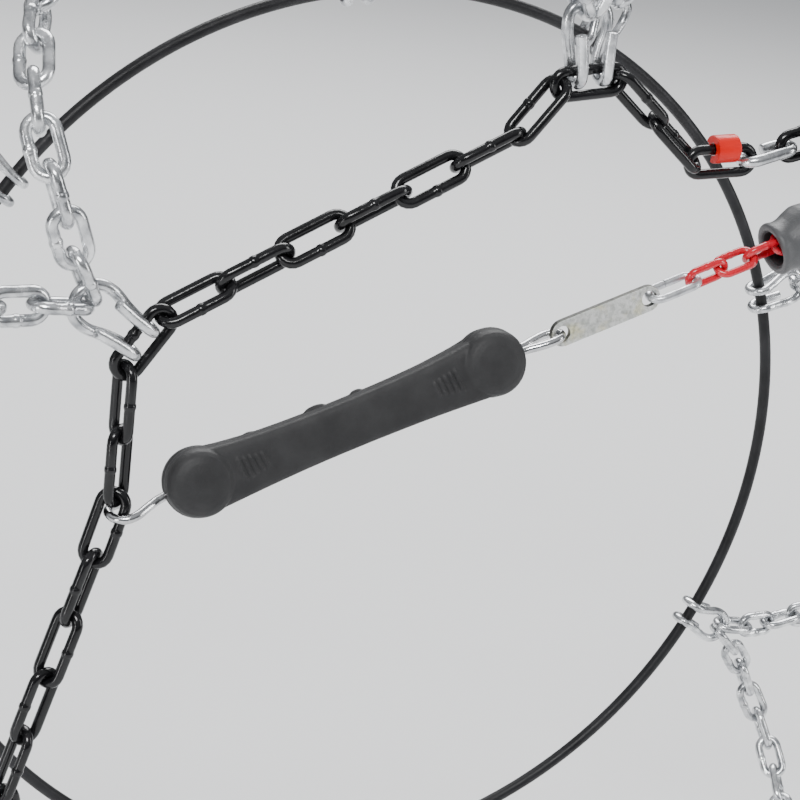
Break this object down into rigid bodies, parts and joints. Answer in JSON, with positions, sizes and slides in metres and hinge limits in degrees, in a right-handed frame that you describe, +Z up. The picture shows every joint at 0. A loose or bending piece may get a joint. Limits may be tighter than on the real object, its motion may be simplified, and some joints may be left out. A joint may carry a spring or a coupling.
{
  "type": "tire snow chains",
  "caption": "Snow chains fitted round a tyre: side chain, tread strands, inner cable, and a rubber tensioner with a ratchet.",
  "frame": {"origin": "centre of the wheel that the chain is fitted round, in the tyre's middle plane", "axes": "+Y along the axle towards the vehicle, so the outer face looks along -Y; +Z up; +X to the right seen from outside"},
  "size_m": [0.6769, 0.2572, 0.6773],
  "materials": {
    "black_enamel": "glossy black enamel on welded steel links",
    "galvanised": "bright zinc on hardened steel wire, slightly frosted",
    "bright_wire": "bright zinc-plated drawn wire",
    "yellow_zinc": "rolled plate with a pale yellow passivated zinc",
    "rubber": "matt charcoal moulded rubber",
    "red_enamel": "glossy red coating on welded links",
    "red_plastic": "moulded red plastic",
    "grey_plastic": "fine-textured moulded grey plastic",
    "dark_plastic": "moulded dark plastic",
    "cable_coat": "extruded dark coating on a steel cable"
  },
  "bodies": {
    "root": {"rubber_tensioner": "rubber", "tensioner_hook": "bright_wire", "outer_strands_1": "galvanised", "outer_strands_2": "galvanised", "outer_strands_3": "galvanised", "outer_strands_4": "galvanised", "outer_strands_5": "galvanised", "outer_strands_6": "galvanised", "outer_strands_7": "galvanised", "outer_strands_8": "galvanised", "inner_strands_1": "galvanised", "inner_strands_2": "galvanised", "inner_strands_3": "galvanised", "inner_strands_4": "galvanised", "inner_strands_5": "galvanised", "inner_strands_6": "galvanised", "inner_strands_7": "galvanised", "inner_strands_8": "galvanised", "side_run_1": "black_enamel", "side_run_2": "black_enamel", "side_run_3": "black_enamel", "side_run_4": "black_enamel", "side_run_5": "black_enamel", "side_run_6": "black_enamel", "side_run_7": "black_enamel", "side_run_8": "black_enamel", "side_run_9": "black_enamel", "side_link_1": "black_enamel", "side_link_2": "black_enamel", "side_link_3": "black_enamel", "side_link_4": "black_enamel", "closing_link": "black_enamel", "anchor_link": "black_enamel", "inner_cable": "cable_coat", "cable_plug": "bright_wire", "cable_socket": "bright_wire", "ratchet_housing_front": "grey_plastic", "ratchet_housing_back": "grey_plastic", "entry_bush": "dark_plastic", "roller_axle": "bright_wire", "lever_pin": "bright_wire"},
    "tension_line": {"tensioner_eye": "bright_wire", "repair_link": "bright_wire", "red_link_2": "red_enamel", "red_link_4": "red_enamel"},
    "adjuster_plate": {"adjuster_plate": "yellow_zinc"},
    "red_link_1": {"red_link_1": "red_enamel"},
    "red_link_3": {"red_link_3": "red_enamel"},
    "chain_roller": {"chain_roller": "dark_plastic"},
    "release_lever": {"release_lever": "red_plastic"},
    "marker_clip": {"marker_clip": "red_plastic"},
    "closing_hook": {"closing_hook": "galvanised"},
    "outer_hook_1": {"outer_hook_1": "galvanised"},
    "outer_hook_2": {"outer_hook_2": "galvanised"},
    "outer_hook_3": {"outer_hook_3": "galvanised"},
    "outer_hook_4": {"outer_hook_4": "galvanised"},
    "outer_hook_5": {"outer_hook_5": "galvanised"},
    "outer_hook_6": {"outer_hook_6": "galvanised"},
    "outer_hook_7": {"outer_hook_7": "galvanised"},
    "outer_hook_8": {"outer_hook_8": "galvanised"}
  },
  "joints": [
    {"name": "tighten_travel", "type": "slide", "parent": "root", "child": "tension_line", "axis": [0.9304, 0, 0.3665], "range_m": [0, 0.012], "stiffness_N_per_m": 3000, "deforming": ["rubber_tensioner"]},
    {"name": "plate_twist", "type": "hinge", "parent": "tension_line", "child": "adjuster_plate", "pos_m": [-0.01156, -0.114, 0.1451], "axis": [0.9304, 0, 0.3665], "range_deg": [-12, 12]},
    {"name": "red_link_1_twist", "type": "hinge", "parent": "tension_line", "child": "red_link_1", "pos_m": [0.03124, -0.114, 0.16196], "axis": [0.9304, 0, 0.3665], "range_deg": [-10, 10]},
    {"name": "red_link_3_twist", "type": "hinge", "parent": "tension_line", "child": "red_link_3", "pos_m": [0.05543, -0.114, 0.17149], "axis": [0.9304, 0, 0.3665], "range_deg": [-10, 10]},
    {"name": "roller_turn", "type": "hinge", "parent": "root", "child": "chain_roller", "pos_m": [0.09898, -0.114, 0.17006], "axis": [0, 1, 0], "range_deg": [-5, 62]},
    {"name": "lever_press", "type": "hinge", "parent": "root", "child": "release_lever", "pos_m": [0.09621, -0.114, 0.15526], "axis": [0, 1, 0], "range_deg": [-22, 0], "stiffness_Nm_per_rad": 0.05},
    {"name": "clip_turn", "type": "hinge", "parent": "root", "child": "marker_clip", "pos_m": [0.0291, -0.114, 0.21132], "axis": [0.9965, 0, 0.083], "range_deg": [-15, 15]},
    {"name": "closing_hook_twist", "type": "hinge", "parent": "root", "child": "closing_hook", "pos_m": [0.04814, -0.114, 0.20987], "axis": [0.9552, 0, 0.2961], "range_deg": [-10, 10]},
    {"name": "hook_1_tilt", "type": "hinge", "parent": "root", "child": "outer_hook_1", "pos_m": [-0.1975, -0.114, 0.13932], "axis": [0.5764, 0, 0.8171], "range_deg": [-4, 4]},
    {"name": "hook_2_tilt", "type": "hinge", "parent": "root", "child": "outer_hook_2", "pos_m": [-0.03364, -0.114, 0.23935], "axis": [0.9903, 0, 0.1392], "range_deg": [-4, 4]},
    {"name": "hook_3_tilt", "type": "hinge", "parent": "root", "child": "outer_hook_3", "pos_m": [0.09908, -0.114, 0.22046], "axis": [0.9121, 0, -0.4099], "range_deg": [-4, 4]},
    {"name": "hook_4_tilt", "type": "hinge", "parent": "root", "child": "outer_hook_4", "pos_m": [0.22654, -0.114, 0.08425], "axis": [0.3486, 0, -0.9373], "range_deg": [-4, 4]},
    {"name": "hook_5_tilt", "type": "hinge", "parent": "root", "child": "outer_hook_5", "pos_m": [0.21649, -0.114, -0.10747], "axis": [-0.4446, 0, -0.8957], "range_deg": [-4, 4]},
    {"name": "hook_6_tilt", "type": "hinge", "parent": "root", "child": "outer_hook_6", "pos_m": [0.06905, -0.114, -0.23163], "axis": [-0.9583, 0, -0.2857], "range_deg": [-4, 4]},
    {"name": "hook_7_tilt", "type": "hinge", "parent": "root", "child": "outer_hook_7", "pos_m": [-0.12448, -0.114, -0.20718], "axis": [-0.8572, 0, 0.515], "range_deg": [-4, 4]},
    {"name": "hook_8_tilt", "type": "hinge", "parent": "root", "child": "outer_hook_8", "pos_m": [-0.23642, -0.114, -0.05025], "axis": [-0.2079, 0, 0.9781], "range_deg": [-4, 4]}
  ],
  "couplings": [
    {"joint": "roller_turn", "follows": "tighten_travel", "rad_per_m": 81}
  ]
}
